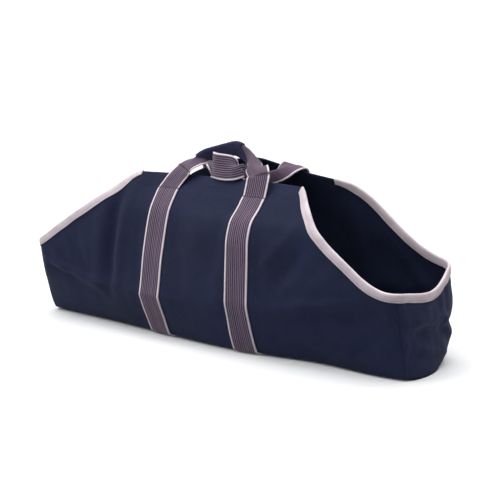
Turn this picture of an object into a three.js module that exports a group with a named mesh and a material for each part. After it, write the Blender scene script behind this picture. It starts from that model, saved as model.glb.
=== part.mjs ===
// A canvas log carrier: a long open canvas trough with two end walls, bound rims,
// and two webbing straps that run under the body and rise into carrying handles.
// Millimetres, +Z up, +X along the carrier, -Y to the front, origin on the floor under its middle.

import * as THREE from 'three';

// The canvas body.
const body_length = 650;
const belly_width = 182;
const belly_height = 67;
const front_height = 241;
const back_height = 267;
const front_top_length = 294;
const front_pull = 4;
const back_top_length = 300;
const canvas_wall = 2;
const hem_wall = 3;
const hem_depth = 26;
const stitch_depth = 19;
const bottom_round = 7;
const narrowest_strip = 2.5;

// The two end walls.
const rim_front_height = 126;
const rim_back_height = 136;
const rim_sag = 12;
const end_corner_radius = 22;
const end_foot_radius = 3;
const end_bulge = 12;
const corner_clearance = 3;

// The binding tape over the scooped rims.
const binding_depth = 12;
const binding_wall = 1;
const binding_start = 9;
const start_share = 0.1;
const deepest_share = 0.97;

// The webbing straps, their handles and the wrap on the front grip.
const webbing_width = 38;
const webbing_wall = 2;
const strap_spacing = 160;
const strap_shelf = 10;
const strap_clearance = 1;
const handle_rise = 51;
const handle_reach = 30;
const fold_radius = 1.8;
const handle_rows = 44;
const wrap_wall = 1.2;
const wrap_margin = 0.5;
const wrap_gap = 1.2;

// Clearances between pieces that touch on the real carrier.
const seat_gap = 0.5;
const seam_gap = 0.5;

// The sharpest bend at which a wall's offset still grows to keep its thickness.
const sharpest_facing = 0.7;

const half_length = body_length / 2;
const half_belly = belly_width / 2;
const half_spacing = strap_spacing / 2;
const half_webbing = webbing_width / 2;
const half_canvas = canvas_wall / 2;
const half_hem = hem_wall / 2;
const fold_length = Math.PI * fold_radius;
const strap_stack = webbing_wall + seat_gap + half_canvas;
const FRONT = -1;
const BACK = 1;

// Half the bottom's width along the carrier, as a share of half the belly.
const bottom_plan = [
  { along: -1.0, half: 0.50 },
  { along: -0.6, half: 0.55 },
  { along: -0.25, half: 0.65 },
  { along: 0.0, half: 0.72 },
  { along: 0.2, half: 0.73 },
  { along: 0.31, half: 0.68 },
  { along: 0.6, half: 0.54 },
  { along: 0.85, half: 0.59 },
  { along: 1.0, half: 0.54 },
];

// Rows from the floor to the belly line: height as a share of it, and how far the side
// has swelled from the bottom's edge to the belly, at the straps and at the end walls.
const lower_rows = [
  { height: 0.09, strap: 0.12, end_front: 0.1, end_back: 0.3 },
  { height: 0.24, strap: 0.30, end_front: 0.28, end_back: 0.66 },
  { height: 0.57, strap: 0.62, end_front: 0.62, end_back: 0.94 },
  { height: 1.0, strap: 1.0, end_front: 1.0, end_back: 1.0 },
];

const swell_table = [{ height: 0, strap: 0, end_front: 0, end_back: 0 }, ...lower_rows];

// Rows from the belly line to the hem, as shares of that height.
const upper_rows = [0.13, 0.34, 0.55, 0.78, 1.0];

// Half the width above the belly, as shares of half the belly, at the left and
// right straps.
const side_table = [
  { up: 0, front_left: 1, front_right: 0.97, back_left: 1, back_right: 0.99 },
  { up: 0.07, front_left: 0.97, front_right: 1, back_left: 1, back_right: 1 },
  { up: 0.2, front_left: 0.925, front_right: 0.99, back_left: 0.985, back_right: 0.985 },
  { up: 0.34, front_left: 0.88, front_right: 0.98, back_left: 0.96, back_right: 0.96 },
  { up: 0.53, front_left: 0.79, front_right: 0.97, back_left: 0.9, back_right: 0.88 },
  { up: 0.7, front_left: 0.69, front_right: 0.88, back_left: 0.81, back_right: 0.77 },
  { up: 0.8, front_left: 0.575, front_right: 0.68, back_left: 0.7, back_right: 0.66 },
  { up: 0.9, front_left: 0.41, front_right: 0.48, back_left: 0.56, back_right: 0.53 },
  { up: 1, front_left: 0.21, front_right: 0.25, back_left: 0.42, back_right: 0.4 },
];

// The same at the two end walls.
const end_table = [
  { up: 0, front_left: 0.86, front_right: 0.71, back_left: 1, back_right: 1 },
  { up: 0.07, front_left: 0.89, front_right: 0.75, back_left: 0.99, back_right: 1 },
  { up: 0.2, front_left: 0.93, front_right: 0.84, back_left: 0.96, back_right: 0.99 },
  { up: 0.34, front_left: 0.95, front_right: 0.92, back_left: 0.92, back_right: 0.95 },
  { up: 0.53, front_left: 0.95, front_right: 0.93, back_left: 0.9, back_right: 0.9 },
  { up: 0.7, front_left: 0.94, front_right: 0.92, back_left: 0.89, back_right: 0.88 },
  { up: 0.8, front_left: 0.93, front_right: 0.91, back_left: 0.88, back_right: 0.87 },
  { up: 0.9, front_left: 0.92, front_right: 0.9, back_left: 0.87, back_right: 0.86 },
  { up: 1, front_left: 0.91, front_right: 0.89, back_left: 0.86, back_right: 0.85 },
];

// The back panel's arched top edge: its height as a share of the arch's peak.
const arch_table = [
  { along: -1, height: 0.79 },
  { along: -0.8, height: 0.862 },
  { along: -0.53, height: 0.918 },
  { along: -0.235, height: 0.968 },
  { along: 0.175, height: 1 },
  { along: 0.41, height: 0.974 },
  { along: 0.7, height: 0.936 },
  { along: 1, height: 0.905 },
];

// The scoop from a top corner to the end wall: how far out, and how much of the drop.
const scoop_table = [
  { out: 0, front_left: 0, front_right: 0, back: 0 },
  { out: 0.05, front_left: 0.035, front_right: 0.05, back: 0.02 },
  { out: 0.11, front_left: 0.115, front_right: 0.135, back: 0.045 },
  { out: 0.18, front_left: 0.21, front_right: 0.245, back: 0.1 },
  { out: 0.25, front_left: 0.29, front_right: 0.355, back: 0.18 },
  { out: 0.34, front_left: 0.385, front_right: 0.475, back: 0.31 },
  { out: 0.42, front_left: 0.472, front_right: 0.575, back: 0.44 },
  { out: 0.51, front_left: 0.563, front_right: 0.675, back: 0.575 },
  { out: 0.63, front_left: 0.69, front_right: 0.81, back: 0.74 },
  { out: 0.71, front_left: 0.772, front_right: 0.9, back: 0.83 },
  { out: 0.8, front_left: 0.868, front_right: 0.975, back: 0.91 },
  { out: 0.89, front_left: 0.958, front_right: 1.02, back: 0.965 },
  { out: 1, front_left: 1.048, front_right: 1.045, back: 1 },
];

// The front handle between its stitched legs: across as a share of half the
// spacing, lean of the reach, up of the rise, how far it is folded in half
// lengthwise, and the way its outer face looks, in degrees.
const front_handle = [
  { across: -0.99, lean: -0.64, up: -0.16, fold: 0, yaw: 0, pitch: 16 },
  { across: -0.94, lean: 0.08, up: 0.2, fold: 0, yaw: -4, pitch: 40 },
  { across: -0.74, lean: 0.42, up: 0.48, fold: 0.3, yaw: -8, pitch: 58 },
  { across: -0.55, lean: 0.63, up: 0.67, fold: 0.72, yaw: -8, pitch: 74 },
  { across: -0.36, lean: 0.76, up: 0.79, fold: 0.94, yaw: 0, pitch: 84 },
  { across: -0.14, lean: 0.87, up: 0.89, fold: 0.97, yaw: 0, pitch: 88 },
  { across: 0.13, lean: 0.9, up: 0.98, fold: 0.97, yaw: 0, pitch: 88 },
  { across: 0.4, lean: 0.76, up: 0.86, fold: 0.94, yaw: 14, pitch: 76 },
  { across: 0.64, lean: 0.5, up: 0.71, fold: 0.86, yaw: 24, pitch: 58 },
  { across: 0.84, lean: -0.18, up: 0.48, fold: 0.6, yaw: 18, pitch: 32 },
  { across: 0.97, lean: -0.6, up: 0.29, fold: 0.16, yaw: 6, pitch: 8 },
  { across: 0.99, lean: -0.72, up: 0, fold: 0, yaw: 0, pitch: 0 },
];

// The back handle, flopped forward over the opening, in the same columns.
const back_handle = [
  { across: -0.994, lean: 0.783, up: -0.529, fold: 0, yaw: 180, pitch: 8 },
  { across: -0.975, lean: 0.74, up: -0.353, fold: 0, yaw: 180, pitch: 30 },
  { across: -0.863, lean: 0.423, up: -0.176, fold: 0, yaw: 180, pitch: 78 },
  { across: -0.625, lean: -0.043, up: -0.147, fold: 0, yaw: 323, pitch: 82 },
  { across: -0.388, lean: -0.61, up: -0.186, fold: 0, yaw: 319, pitch: 80 },
  { across: -0.244, lean: -1.143, up: -0.235, fold: 0, yaw: 300, pitch: 66 },
  { across: -0.206, lean: -1.577, up: -0.188, fold: 0, yaw: 285, pitch: 40 },
  { across: -0.181, lean: -1.893, up: -0.114, fold: 0, yaw: 298, pitch: 16 },
  { across: -0.062, lean: -2.12, up: -0.131, fold: 0, yaw: 334, pitch: 4 },
  { across: 0.1, lean: -2.17, up: -0.157, fold: 0.1, yaw: 357, pitch: 12 },
  { across: 0.237, lean: -2.177, up: -0.157, fold: 0.45, yaw: 360, pitch: 42 },
  { across: 0.375, lean: -2.143, up: -0.098, fold: 0.85, yaw: 364, pitch: 79 },
  { across: 0.525, lean: -1.9, up: -0.028, fold: 0.95, yaw: 378, pitch: 87 },
  { across: 0.637, lean: -1.46, up: -0.314, fold: 0.95, yaw: 385, pitch: 85 },
  { across: 0.75, lean: -1.143, up: -0.304, fold: 0.9, yaw: 388, pitch: 80 },
  { across: 0.85, lean: -0.843, up: -0.235, fold: 0.75, yaw: 392, pitch: 72 },
  { across: 0.938, lean: -0.51, up: -0.176, fold: 0.4, yaw: 398, pitch: 68 },
  { across: 1.012, lean: -0.143, up: -0.122, fold: 0.1, yaw: 414, pitch: 70 },
  { across: 1.062, lean: 0.207, up: -0.094, fold: 0, yaw: 450, pitch: 66 },
  { across: 1.05, lean: 0.623, up: -0.225, fold: 0, yaw: 525, pitch: 36 },
  { across: 1.031, lean: 0.8, up: -0.422, fold: 0, yaw: 540, pitch: 10 },
];

// Where the wrap covers the front grip, as shares of the free handle's rows,
// along its fold and along its open edge.
const wrap_start = { fold: 0.25, edge: 0.36 };
const wrap_end = { fold: 0.58, edge: 0.69 };

// A column of a table at a place along it, on a curve that never swings past its rows.
function read(table, key, column, at) {
  const last = table.length - 1;
  if (at <= table[0][key]) return table[0][column];
  if (at >= table[last][key]) return table[last][column];
  let row = 0;
  while (at > table[row + 1][key]) row += 1;
  const span = (i) => table[i + 1][key] - table[i][key];
  const slope = (i) => (table[i + 1][column] - table[i][column]) / span(i);
  const lean = (i) => {
    if (i === 0) return slope(0);
    if (i === last) return slope(last - 1);
    const before = slope(i - 1);
    const after = slope(i);
    return before * after <= 0 ? 0 : (2 * before * after) / (before + after);
  };
  const width = span(row);
  const u = (at - table[row][key]) / width;
  const start = table[row][column] * (1 + 2 * u) * (1 - u) ** 2 + width * lean(row) * u * (1 - u) ** 2;
  const end = table[row + 1][column] * u * u * (3 - 2 * u) + width * lean(row + 1) * u * u * (u - 1);
  return start + end;
}

const mix = THREE.MathUtils.lerp;
const ease = (value) => THREE.MathUtils.smoothstep(value, 0, 1);

// A panel's top corner at one end, from the carrier's middle.
function topCorner(face, end) {
  return face === FRONT ? front_top_length / 2 + end * front_pull : back_top_length / 2;
}

// The height of a panel's edge above the floor: the top edge, then the scoop.
function edgeHeight(face, x) {
  const end = x < 0 ? -1 : 1;
  const corner = topCorner(face, end);
  const along = THREE.MathUtils.clamp(x / corner, -1, 1);
  const top = face === FRONT ? front_height : back_height * read(arch_table, 'along', 'height', along);
  const out = Math.max(Math.abs(x) - corner, 0) / (half_length - corner);
  const rim = face === FRONT ? rim_front_height : rim_back_height;
  const column = face === BACK ? 'back' : `front_${end < 0 ? 'left' : 'right'}`;
  return mix(top, rim, read(scoop_table, 'out', column, out));
}

// The body's middle plane at the floor: low between the straps, lifted over them.
function floorHeight(x) {
  const past = Math.abs(Math.abs(x) - half_spacing) - half_webbing;
  return half_canvas + (strap_stack - half_canvas) * ease(1 - (past - strap_clearance) / strap_shelf);
}

function bottomHalf(x) {
  return half_belly * read(bottom_plan, 'along', 'half', x / half_length);
}

// Half the body's width on one face, at a place along it and a height.
function sideHalf(face, x, z) {
  const foot = bottomHalf(x);
  const side = face === FRONT ? 'front' : 'back';
  const outer = THREE.MathUtils.clamp((Math.abs(x) - half_spacing) / (half_length - half_spacing), 0, 1);
  const across = THREE.MathUtils.clamp((x + half_spacing) / strap_spacing, 0, 1);
  const top = face === FRONT ? front_height : back_height;
  const share = (up) => {
    const left = read(side_table, 'up', `${side}_left`, up);
    const right = read(side_table, 'up', `${side}_right`, up);
    const end = read(end_table, 'up', `${side}_${x < 0 ? 'left' : 'right'}`, up);
    return mix(mix(left, right, ease(across)), end, ease(outer));
  };
  if (z >= belly_height) return half_belly * share((z - belly_height) / (top - belly_height));
  const swell = (column) => read(swell_table, 'height', column, z / belly_height);
  const half = mix(foot, half_belly * share(0), mix(swell('strap'), swell(`end_${side}`), ease(outer)));
  const turn = (z - floorHeight(x)) / (lower_rows[0].height * belly_height - floorHeight(x));
  return turn >= 1 ? half : mix(foot - bottom_round, half, Math.max(turn, 0));
}

// The heights of one side's rows, from its lowest to the panel's edge.
function rowHeights(lowest, edge) {
  const hem = Math.min(hem_depth, 0.4 * (edge - belly_height));
  const stitch = hem * (stitch_depth / hem_depth);
  return [
    lowest,
    ...lower_rows.map((row) => row.height * belly_height),
    ...upper_rows.map((share) => belly_height + share * (edge - hem - belly_height)),
    edge - stitch,
    edge,
  ];
}

const row_count = lower_rows.length + upper_rows.length + 3;
const stitch_row = row_count - 2;
const hem_row = row_count - 3;

// The rounded upright corner between a panel and an end wall.
function cornerRadius(z) {
  return mix(end_foot_radius, end_corner_radius, ease(z / belly_height));
}

// The rim's height in the corner, at a turn from the panel towards the end wall.
function cornerEdge(end, face, turn) {
  return edgeHeight(face, end * (half_length - end_corner_radius * (1 - Math.sin(turn))));
}

function cornerPoint(end, face, turn, z) {
  const radius = cornerRadius(z);
  const half = sideHalf(face, end * half_length, z);
  return new THREE.Vector3(
    end * (half_length - radius + radius * Math.sin(turn)),
    face * (half - radius + radius * Math.cos(turn)),
    z,
  );
}

// The angle of the seam in the corner, where the body stops or the end wall starts.
function seamAngle(z, toward_end) {
  return Math.PI / 4 + (toward_end ? 1 : -1) * (seam_gap / 2 / cornerRadius(z));
}

// Places along one half of the body where it has a section, from the middle out.
function stationPlaces(end) {
  const front_corner = topCorner(FRONT, end);
  const scoop_end = half_length - end_corner_radius - corner_clearance;
  const strap_edge = half_webbing + strap_clearance;
  const fixed = [
    half_spacing - strap_edge - strap_shelf,
    half_spacing - strap_edge,
    half_spacing,
    half_spacing + strap_edge,
    half_spacing + strap_edge + strap_shelf,
    front_corner - binding_start,
    front_corner,
  ];
  const others = [
    topCorner(BACK, end),
    ...scoop_table.map((row) => front_corner + row.out * (half_length - front_corner)),
  ].filter((x) => x < scoop_end && fixed.every((place) => Math.abs(x - place) > narrowest_strip));
  return [...fixed, ...others].sort((a, b) => a - b).map((x) => end * x);
}

// One section of the body, from the front edge down, under and up to the back edge.
function straightSection(x) {
  const side = (face) => rowHeights(floorHeight(x), edgeHeight(face, x))
    .map((z) => new THREE.Vector3(x, face * sideHalf(face, x, z), z));
  const under = [-0.5, 0, 0.5].map((share) => new THREE.Vector3(x, share * bottomHalf(x), floorHeight(x)));
  return [...side(FRONT).reverse(), ...under, ...side(BACK)];
}

function cornerSection(end, share) {
  const x = end * half_length;
  const low = floorHeight(x);
  const side = (face) => rowHeights(low, cornerEdge(end, face, share * Math.PI / 4))
    .map((z) => cornerPoint(end, face, share * seamAngle(z, false), z));
  const foot = bottomHalf(x);
  const radius = cornerRadius(0);
  const reach = half_length - radius + radius * Math.sin(share * Math.PI / 4);
  const under = [-0.5, 0, 0.5].map((y) => {
    const bulge = end_bulge * share * (1 - y * y);
    return new THREE.Vector3(end * (reach + bulge), y * foot, low);
  });
  return [...side(FRONT).reverse(), ...under, ...side(BACK)];
}

// Offsets from a grid of points that keep a wall the same thickness round its bends.
function mitres(grid) {
  const rows = grid.length;
  const columns = grid[0].length;
  const at = (i, j) => grid[i][j];
  const quad = (i, j) => {
    const along = at(i + 1, j).clone().add(at(i + 1, j + 1)).sub(at(i, j)).sub(at(i, j + 1));
    const across = at(i, j + 1).clone().add(at(i + 1, j + 1)).sub(at(i, j)).sub(at(i + 1, j));
    return across.cross(along).normalize();
  };
  return grid.map((row, i) => row.map((_, j) => {
    const faces = [];
    for (const di of [-1, 0]) {
      for (const dj of [-1, 0]) {
        if (i + di < 0 || j + dj < 0 || i + di > rows - 2 || j + dj > columns - 2) continue;
        faces.push(quad(i + di, j + dj));
      }
    }
    const mean = faces.reduce((sum, face) => sum.add(face), new THREE.Vector3()).normalize();
    const facing = faces.reduce((sum, face) => sum + face.dot(mean), 0) / faces.length;
    return mean.multiplyScalar(1 / Math.max(facing, sharpest_facing));
  }));
}

// A closed solid through rings of equal length, capped by strips at both ends. Each
// face is split along one diagonal, or along the other when crossed.
function loft(rings, crossed = false) {
  const size = rings[0].length;
  const positions = rings.flat().flatMap((p) => [p.x, p.y, p.z]);
  const index = [];
  for (let i = 0; i < rings.length - 1; i += 1) {
    for (let j = 0; j < size; j += 1) {
      const a = i * size + j;
      const b = i * size + ((j + 1) % size);
      if (crossed) index.push(a, b, a + size, b, b + size, a + size);
      else index.push(a, b, b + size, a, b + size, a + size);
    }
  }
  const last = (rings.length - 1) * size;
  for (let j = 0; j < size / 2 - 1; j += 1) {
    const [a, b, c, d] = [j, j + 1, size - 2 - j, size - 1 - j];
    index.push(a, c, b, a, d, c);
    index.push(last + a, last + b, last + c, last + a, last + c, last + d);
  }
  const geometry = new THREE.BufferGeometry();
  geometry.setAttribute('position', new THREE.Float32BufferAttribute(positions, 3));
  geometry.setIndex(volumeOf(rings, index) < 0 ? index.reverse() : index);
  return geometry;
}

function volumeOf(rings, index) {
  const points = rings.flat();
  let six = 0;
  for (let i = 0; i < index.length; i += 3) {
    const [a, b, c] = [points[index[i]], points[index[i + 1]], points[index[i + 2]]];
    six += a.dot(b.clone().cross(c));
  }
  return six / 6;
}

// A sheet of cloth: a grid of middle points with a wall to either side.
function sheet(grid, offsets, halfWall) {
  const shift = (i, j, side) => grid[i][j].clone().addScaledVector(offsets[i][j], side * halfWall(i, j));
  return loft(grid.map((row, i) => {
    const outer = row.map((_, j) => shift(i, j, 1));
    const inner = row.map((_, j) => shift(i, j, -1));
    return [...outer, ...inner.reverse()];
  }));
}

// A channel folded over an edge. Each frame holds the cloth's edge point and the next
// point below it, with the ways out through its face and half its wall at both, and
// how far the channel reaches down and stands above the edge there.
function channel(frames, wall, crossed) {
  return loft(frames.map((frame) => {
    const drop = frame.below.clone().sub(frame.point);
    const length = drop.length();
    const place = (side, thick, at) => {
      const u = at / length;
      const out = mix(frame.half, frame.half_below, Math.max(u, 0)) + seat_gap + thick;
      const way = frame.face.clone().lerp(frame.face_below, Math.max(u, 0));
      return frame.point.clone().addScaledVector(drop, u).addScaledVector(way, side * out);
    };
    const top = -seat_gap * frame.stretch;
    const crown = -(seat_gap + wall) * frame.stretch;
    return [
      place(1, wall, frame.depth), place(1, wall, crown), place(-1, wall, crown), place(-1, wall, frame.depth),
      place(-1, 0, frame.depth), place(-1, 0, top), place(1, 0, top), place(1, 0, frame.depth),
    ];
  }), crossed);
}

// Body.
const corner_shares = [0, 0.36, 0.7, 1];
const body_grid = [
  ...corner_shares.map((share) => cornerSection(-1, share)).reverse(),
  ...stationPlaces(-1).reverse().map(straightSection),
  straightSection(0),
  ...stationPlaces(1).map(straightSection),
  ...corner_shares.map((share) => cornerSection(1, share)),
];
const body_offsets = mitres(body_grid);
const ring_size = body_grid[0].length;
const onHem = (i, j) => {
  const from_edge = Math.min(j, ring_size - 1 - j);
  const face = j < ring_size / 2 ? FRONT : BACK;
  const x = body_grid[i][j].x;
  return from_edge <= row_count - 1 - hem_row && Math.abs(x) <= topCorner(face, Math.sign(x)) + 0.01;
};
const bodyWall = (i, j) => (onHem(i, j) ? half_hem : half_canvas);

// End walls: rows up the wall, columns from the front seam round to the back seam.
function endWallGrid(end) {
  const x = end * half_length;
  const low = canvas_wall + seam_gap;
  const turns = [0, 0.5, 1];
  const flats = [0.14, 0.32, 0.5, 0.68, 0.86];
  const column_count = 2 * turns.length + flats.length;
  const rimHeight = (j) => {
    const v = j / (column_count - 1);
    const share = Math.min(j, column_count - 1 - j, turns.length - 1) / (turns.length - 1);
    const turn = mix(Math.PI / 4, Math.PI / 2, share);
    const dip = rim_sag * Math.sin(Math.PI * v) ** 2;
    return mix(cornerEdge(end, FRONT, turn), cornerEdge(end, BACK, turn), v * v) - dip;
  };
  const heights = Array.from({ length: column_count }, (_, j) => rowHeights(low, rimHeight(j)));
  const upright = (z) => z / rim_front_height;
  return Array.from({ length: row_count }, (_, k) => {
    const z = (j) => heights[j][k];
    const arc = (face, share, j) => {
      const turn = mix(seamAngle(z(j), true), Math.PI / 2, share);
      return cornerPoint(end, face, turn, z(j));
    };
    const flat = (v, j) => {
      const front = -(sideHalf(FRONT, x, z(j)) - cornerRadius(z(j)));
      const back = sideHalf(BACK, x, z(j)) - cornerRadius(z(j));
      const bulge = end_bulge * (1 - (2 * v - 1) ** 2) * (1 - 0.4 * ease(upright(z(j))));
      return new THREE.Vector3(end * (half_length + bulge), mix(front, back, v), z(j));
    };
    return [
      ...turns.map((share, j) => arc(FRONT, share, j)),
      ...flats.map((v, j) => flat(v, j + turns.length)),
      ...turns.map((share, j) => arc(BACK, 1 - share, j + turns.length + flats.length)),
    ];
  });
}

// The binding's frames along one rim: down the front scoop, across the end wall, up the back.
function rimFrames(end, wall_grid, wall_offsets) {
  const frames = [];
  const stations = body_grid.map((_, i) => i).filter((i) => end * body_grid[i][0].x > 0);
  if (end < 0) stations.reverse();
  const addBody = (i, j, next, corner) => {
    const past = end * body_grid[i][j].x - corner;
    if (past < -binding_start - 0.01) return;
    frames.push({
      point: body_grid[i][j],
      below: body_grid[i][next],
      face: body_offsets[i][j],
      face_below: body_offsets[i][next],
      half: bodyWall(i, j),
      half_below: bodyWall(i, next),
      start: past < -0.01,
    });
  };
  const top_row = wall_grid.length - 1;
  stations.forEach((i) => addBody(i, 0, 1, topCorner(FRONT, end)));
  wall_grid[top_row].forEach((point, j) => frames.push({
    point,
    below: wall_grid[top_row - 1][j],
    face: wall_offsets[top_row][j],
    face_below: wall_offsets[top_row - 1][j],
    half: half_canvas,
    half_below: half_canvas,
    start: false,
  }));
  stations.reverse().forEach((i) => addBody(i, ring_size - 1, ring_size - 2, topCorner(BACK, end)));
  return frames.map((frame, i) => {
    const before = frames[Math.max(i - 1, 0)].point;
    const after = frames[Math.min(i + 1, frames.length - 1)].point;
    const along = after.clone().sub(before).normalize();
    const down = frame.below.clone().sub(frame.point);
    const stretch = 1 / Math.sqrt(1 - (along.dot(down) / down.length()) ** 2);
    const depth = frame.start ? start_share * binding_depth : binding_depth * stretch;
    return { ...frame, stretch: Math.min(stretch, 2), depth: Math.min(depth, deepest_share * down.length()) };
  });
}

// Straps.
const strap_columns = [-half_webbing, -fold_length / 2, -fold_length / 4, 0, fold_length / 4, fold_length / 2, half_webbing];

// A point of the strap on the body's face, between the body's own sections.
function onBody(x, j) {
  const i = body_grid.findIndex((row, k) => body_grid[k + 1][j].x >= x);
  const u = (x - body_grid[i][j].x) / (body_grid[i + 1][j].x - body_grid[i][j].x);
  const lift = mix(bodyWall(i, j), bodyWall(i + 1, j), u) + seat_gap + webbing_wall / 2;
  const point = body_grid[i][j].clone().lerp(body_grid[i + 1][j], u);
  return point.addScaledVector(body_offsets[i][j].clone().lerp(body_offsets[i + 1][j], u), lift);
}

// A leg's rows from the middle of the bottom up to its stitch line.
function legRows(face, leg) {
  const turn = -face * leg;
  const rows = [];
  const middle = (ring_size - 1) / 2;
  const first = onBody(leg * half_spacing, middle);
  rows.push(strap_columns.map((s) => new THREE.Vector3(leg * half_spacing - turn * s, face * seam_gap, first.z)));
  for (let step = 1; step <= 1 + stitch_row + 1; step += 1) {
    const j = middle + face * step;
    rows.push(strap_columns.map((s) => onBody(leg * half_spacing - turn * s, j)));
  }
  return rows;
}

function outward({ yaw, pitch }) {
  const turn = THREE.MathUtils.degToRad(yaw);
  const lift = THREE.MathUtils.degToRad(pitch);
  return new THREE.Vector3(Math.sin(turn) * Math.cos(lift), -Math.cos(turn) * Math.cos(lift), Math.sin(lift));
}

// The free handle as a smooth route: its point, outer face and fold at any share along it.
function handleRoute(face, table, left_foot, right_foot) {
  const top = face === FRONT ? front_height : back_height;
  const shares = side_table[side_table.length - 1];
  const edge = face === FRONT
    ? (shares.front_left + shares.front_right) / 2
    : (shares.back_left + shares.back_right) / 2;
  const points = table.map((row) => new THREE.Vector3(
    row.across * half_spacing,
    face * half_belly * edge + row.lean * handle_reach,
    top + row.up * handle_rise,
  ));
  const route = new THREE.CatmullRomCurve3([left_foot, ...points, right_foot], false, 'centripetal');
  const faces = [new THREE.Vector3(0, face, 0), ...table.map(outward), new THREE.Vector3(0, face, 0)];
  const facing = new THREE.CatmullRomCurve3(faces, false, 'centripetal');
  const folds = [{ at: 0, fold: 0 }, ...table.map((row, i) => ({ at: i + 1, fold: row.fold })), { at: table.length + 1, fold: 0 }];
  return (share) => {
    const along = route.getTangent(share).normalize();
    const width = along.clone().cross(facing.getPoint(share)).normalize();
    return {
      point: route.getPoint(share),
      along,
      width,
      face: width.clone().cross(along).normalize(),
      turn: Math.PI * read(folds, 'at', 'fold', share * (table.length + 1)),
    };
  };
}

// A point of the strap's section, s along its width, when the strap is folded over its middle line.
function foldedPoint(frame, s, lift) {
  const bend = Math.max(frame.turn, 1e-4);
  const radius = fold_length / bend;
  const arc = THREE.MathUtils.clamp(s, -fold_length / 2, fold_length / 2);
  const rest = s - arc;
  const angle = arc / radius;
  const across = (radius + lift) * Math.sin(angle) + rest * Math.cos(angle);
  const drop = (radius + lift) * (1 - Math.cos(angle)) - lift + rest * Math.sin(angle);
  return frame.point.clone().addScaledVector(frame.width, across).addScaledVector(frame.face, -drop);
}

function strapGrid(face, table) {
  const left = legRows(face, -1);
  const right = legRows(face, 1).reverse();
  const middle = (rows) => rows[(strap_columns.length - 1) / 2];
  const route = handleRoute(face, table, middle(left[left.length - 1]), middle(right[0]));
  const free = Array.from({ length: handle_rows }, (_, i) => {
    const frame = route((i + 1) / (handle_rows + 1));
    return strap_columns.map((s) => foldedPoint(frame, s, 0));
  });
  return { grid: [...left, ...free, ...right], route };
}

const front = strapGrid(FRONT, front_handle);
const back = strapGrid(BACK, back_handle);

// The wrap over the front grip: a sleeve folded over the doubled webbing, its ends cut at a slant.
function wrapFrames() {
  const count = 17;
  const leg_shares = [0, 0.25, 0.5, 0.75, 1];
  return Array.from({ length: count }, (_, i) => {
    const at = (row) => mix(wrap_start[row], wrap_end[row], i / (count - 1));
    return leg_shares.map((share) => front.route(mix(at('fold'), at('edge'), share)));
  });
}

function wrapRing(frames) {
  const clear = webbing_wall / 2 + wrap_gap;
  const reach = half_webbing + wrap_margin;
  const bend = fold_length / 2;
  const leg = (side, lift) => frames.map((frame, i) => {
    const s = mix(bend, reach, i / (frames.length - 1));
    return foldedPoint(frame, side * s, lift);
  });
  const half = (lift) => [
    ...leg(1, lift).reverse(),
    foldedPoint(frames[0], bend / 2, lift),
    foldedPoint(frames[0], 0, lift),
    foldedPoint(frames[0], -bend / 2, lift),
    ...leg(-1, lift),
  ];
  return [...half(clear + wrap_wall), ...half(clear).reverse()];
}

// Materials.
const canvas_finish = { color: 0x222b44, roughness: 0.85, metalness: 0 };
const binding_finish = { color: 0xd8c9cc, roughness: 0.8, metalness: 0 };
const webbing_finish = { color: 0x6c5864, roughness: 0.75, metalness: 0 };
const wrap_finish = { color: 0x1d2140, roughness: 0.8, metalness: 0 };

const carrier = new THREE.Group();

function addPiece(name, geometry, finish) {
  const piece = new THREE.Mesh(geometry, new THREE.MeshStandardMaterial(finish));
  piece.name = name;
  carrier.add(piece);
}

addPiece('body_sheet', sheet(body_grid, body_offsets, bodyWall), canvas_finish);

for (const [end, side] of [[-1, 'left'], [1, 'right']]) {
  const wall = endWallGrid(end);
  const offsets = mitres(wall).map((row) => row.map((way) => way.multiplyScalar(end)));
  addPiece(`end_wall_${side}`, sheet(wall, offsets, () => half_canvas), canvas_finish);
  addPiece(`binding_${side}`, channel(rimFrames(end, wall, offsets), binding_wall, end < 0), binding_finish);
}

for (const [name, strap] of [['front_strap', front], ['back_strap', back]]) {
  addPiece(name, sheet(strap.grid, mitres(strap.grid), () => webbing_wall / 2), webbing_finish);
}

addPiece('grip_wrap', loft(wrapFrames().map(wrapRing)), wrap_finish);

export default carrier;
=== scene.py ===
# %% [markdown]
# # A canvas log carrier
# The carrier is an open trough of navy canvas, made to be loaded from above. Two webbing straps
# run under it and rise into handles, and a pale tape binds the scooped rims. This lesson dresses
# the imported solids, which are the fixed frame.

# %% Load the frame
import math

import bmesh
import bpy
import numpy as np
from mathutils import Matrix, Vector, noise


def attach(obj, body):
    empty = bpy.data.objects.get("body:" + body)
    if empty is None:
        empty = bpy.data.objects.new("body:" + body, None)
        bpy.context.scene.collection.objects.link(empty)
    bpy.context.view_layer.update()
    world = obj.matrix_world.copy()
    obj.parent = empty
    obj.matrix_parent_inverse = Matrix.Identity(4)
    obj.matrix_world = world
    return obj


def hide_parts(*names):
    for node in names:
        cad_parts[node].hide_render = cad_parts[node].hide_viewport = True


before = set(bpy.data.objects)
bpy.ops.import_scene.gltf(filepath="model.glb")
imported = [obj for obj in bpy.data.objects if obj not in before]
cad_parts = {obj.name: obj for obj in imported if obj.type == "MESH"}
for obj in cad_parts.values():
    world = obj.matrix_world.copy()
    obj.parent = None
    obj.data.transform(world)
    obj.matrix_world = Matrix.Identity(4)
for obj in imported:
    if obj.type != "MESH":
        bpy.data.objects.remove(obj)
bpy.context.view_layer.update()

# %% [markdown]
# The camera comes first. The photograph was taken a little above the rim, from the front and
# well round to the right end, with a fairly long lens. A longer lens than 50 mm keeps the two
# ends nearly the same size, as they are there.

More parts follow.
